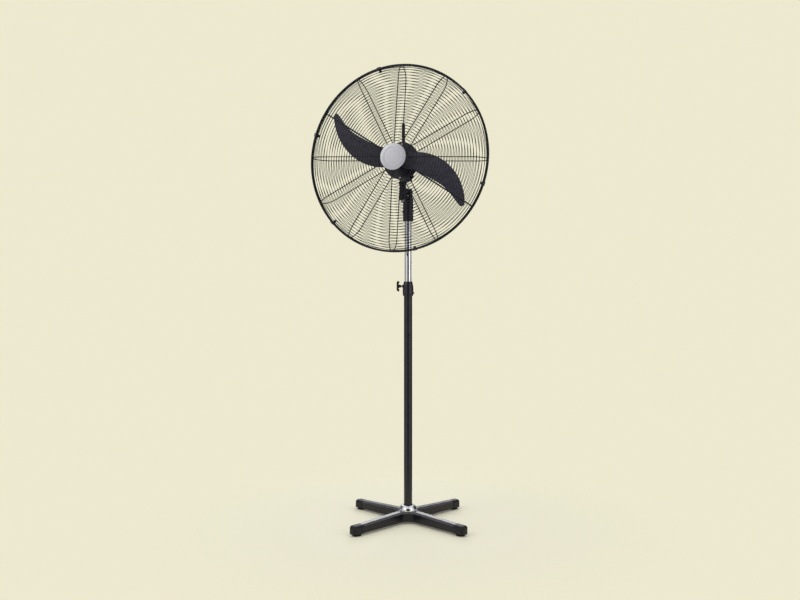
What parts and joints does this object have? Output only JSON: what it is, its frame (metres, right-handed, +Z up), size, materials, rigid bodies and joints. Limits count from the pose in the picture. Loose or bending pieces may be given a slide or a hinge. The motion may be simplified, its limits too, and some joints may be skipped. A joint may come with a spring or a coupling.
{
  "type": "pedestal fan",
  "caption": "Tall pedestal fan on a cast cross base, with a telescoping mast, a tilting and oscillating head, scimitar blades and a wire guard.",
  "frame": {"origin": "on the floor, under the column's axis", "axes": "+Z up the column; the head blows towards -Y at rest; +X is to the right of someone facing the fan"},
  "size_m": [0.8259, 0.629, 2.049],
  "materials": {
    "cast_base": "satin",
    "cap_plastic": "satin",
    "pad_rubber": "matte",
    "chrome_plate": "polished",
    "black_enamel": "semi-gloss",
    "black_wire": "semi-gloss",
    "blade_enamel": "satin",
    "zinc_steel": "satin",
    "bright_steel": "ground",
    "core_steel": "satin",
    "coil_copper": "varnished",
    "bush_bronze": "satin",
    "bush_plastic": "matte",
    "cast_alloy": "as cast",
    "badge_silver": "satin"
  },
  "bodies": {
    "stand": {"base_casting": "cast_base", "leg_caps": "cap_plastic", "foot_pads": "pad_rubber", "tube_flange": "black_enamel", "flange_bolts": "zinc_steel", "base_dome": "chrome_plate", "outer_tube": "black_enamel", "height_collar": "black_enamel", "collar_bush": "bush_plastic", "collar_fixing_screw": "zinc_steel"},
    "clamp": {"clamp_screw": "zinc_steel", "clamp_handle": "cap_plastic"},
    "mast": {"mast_tube": "chrome_plate", "guide_bush": "bush_plastic", "neck_socket": "black_enamel", "neck_set_screws": "zinc_steel", "tilt_bolt": "zinc_steel"},
    "tilt_grip": {"tilt_knob": "cap_plastic"},
    "arm": {"pivot_arm": "black_enamel", "pivot_bushes": "bush_bronze", "link_stud": "zinc_steel"},
    "link": {"drive_link": "zinc_steel"},
    "rotor": {"motor_shaft": "bright_steel", "rotor_core": "core_steel", "blade_hub": "black_enamel", "blade_right": "blade_enamel", "blade_left": "blade_enamel", "blade_rivets": "blade_enamel", "hub_nut": "zinc_steel"},
    "speed": {"speed_knob": "cap_plastic"},
    "wheel": {"worm_wheel": "bush_bronze"},
    "clutch": {"clutch_shaft": "bright_steel"},
    "pull": {"clutch_knob": "cap_plastic"},
    "crank": {"crank_gear": "bright_steel"},
    "head": {"pivot_shaft": "bright_steel", "pivot_circlip": "bright_steel", "motor_front_shell": "black_enamel", "motor_rear_shell": "black_enamel", "through_bolts": "zinc_steel", "stator_core": "core_steel", "stator_windings": "coil_copper", "shaft_bearings": "bright_steel", "gear_case": "cast_alloy", "rear_cover": "black_enamel", "cable_gland": "cap_plastic", "guard_plate": "black_enamel", "guard_spacer": "black_enamel", "plate_screws": "zinc_steel", "rear_ribs": "black_wire", "rear_face_rings": "black_wire", "rear_shoulder_rings": "black_wire", "rear_hoop": "black_wire", "front_ribs": "black_wire", "front_face_rings": "black_wire", "front_shoulder_rings": "black_wire", "front_hoop": "black_wire", "badge_plate": "black_enamel", "badge_disc": "badge_silver", "guard_clips": "black_enamel", "clip_screws": "black_enamel"}
  },
  "joints": [
    {"name": "height_slide", "type": "slide", "parent": "stand", "child": "mast", "axis": [0, 0, 1], "range_m": [-0.27, 0.12]},
    {"name": "clamp_turn", "type": "hinge", "parent": "stand", "child": "clamp", "pos_m": [-0.02837, -0.00977, 1.078], "axis": [-0.9455, -0.3256, 0], "range_deg": [-180, 180]},
    {"name": "tilt", "type": "hinge", "parent": "mast", "child": "arm", "pos_m": [0, 0, 1.508], "axis": [1, 0, 0], "range_deg": [-15, 12]},
    {"name": "tilt_knob_turn", "type": "hinge", "parent": "mast", "child": "tilt_grip", "pos_m": [-0.026, 0, 1.508], "axis": [-1, 0, 0], "range_deg": [-90, 90]},
    {"name": "oscillation", "type": "hinge", "parent": "arm", "child": "head", "pos_m": [0, -0.075, 1.55], "axis": [0, 0, 1], "range_deg": [-45, 45]},
    {"name": "blade_spin", "type": "hinge", "parent": "head", "child": "rotor", "pos_m": [0, -0.15, 1.636], "axis": [0, -1, 0], "continuous": true},
    {"name": "speed_turn", "type": "hinge", "parent": "head", "child": "speed", "pos_m": [0, 0.055, 1.636], "axis": [0, 1, 0], "range_deg": [0, 135]},
    {"name": "worm_wheel_turn", "type": "hinge", "parent": "head", "child": "wheel", "pos_m": [-0.024, 0.005, 1.636], "axis": [0, 0, 1], "continuous": true},
    {"name": "clutch_shaft_turn", "type": "hinge", "parent": "head", "child": "clutch", "pos_m": [-0.024, 0.005, 1.6], "axis": [0, 0, 1], "range_deg": [-226, 226]},
    {"name": "crank_turn", "type": "hinge", "parent": "head", "child": "crank", "pos_m": [-0.007, 0.01733, 1.568], "axis": [0, 0, 1], "range_deg": [-91, 91]},
    {"name": "link_swing", "type": "hinge", "parent": "arm", "child": "link", "pos_m": [-0.014, -0.075, 1.558], "axis": [0, 0, 1], "range_deg": [-46, 46]},
    {"name": "clutch_pull", "type": "slide", "parent": "head", "child": "pull", "axis": [0, 0, 1], "range_m": [0, 0.008]}
  ],
  "couplings": [
    {"joint": "worm_wheel_turn", "follows": "blade_spin", "ratio": 0.027778},
    {"joint": "crank_turn", "follows": "oscillation", "ratio": -2},
    {"joint": "clutch_shaft_turn", "follows": "oscillation", "ratio": 5},
    {"joint": "link_swing", "follows": "oscillation", "ratio": 1}
  ]
}
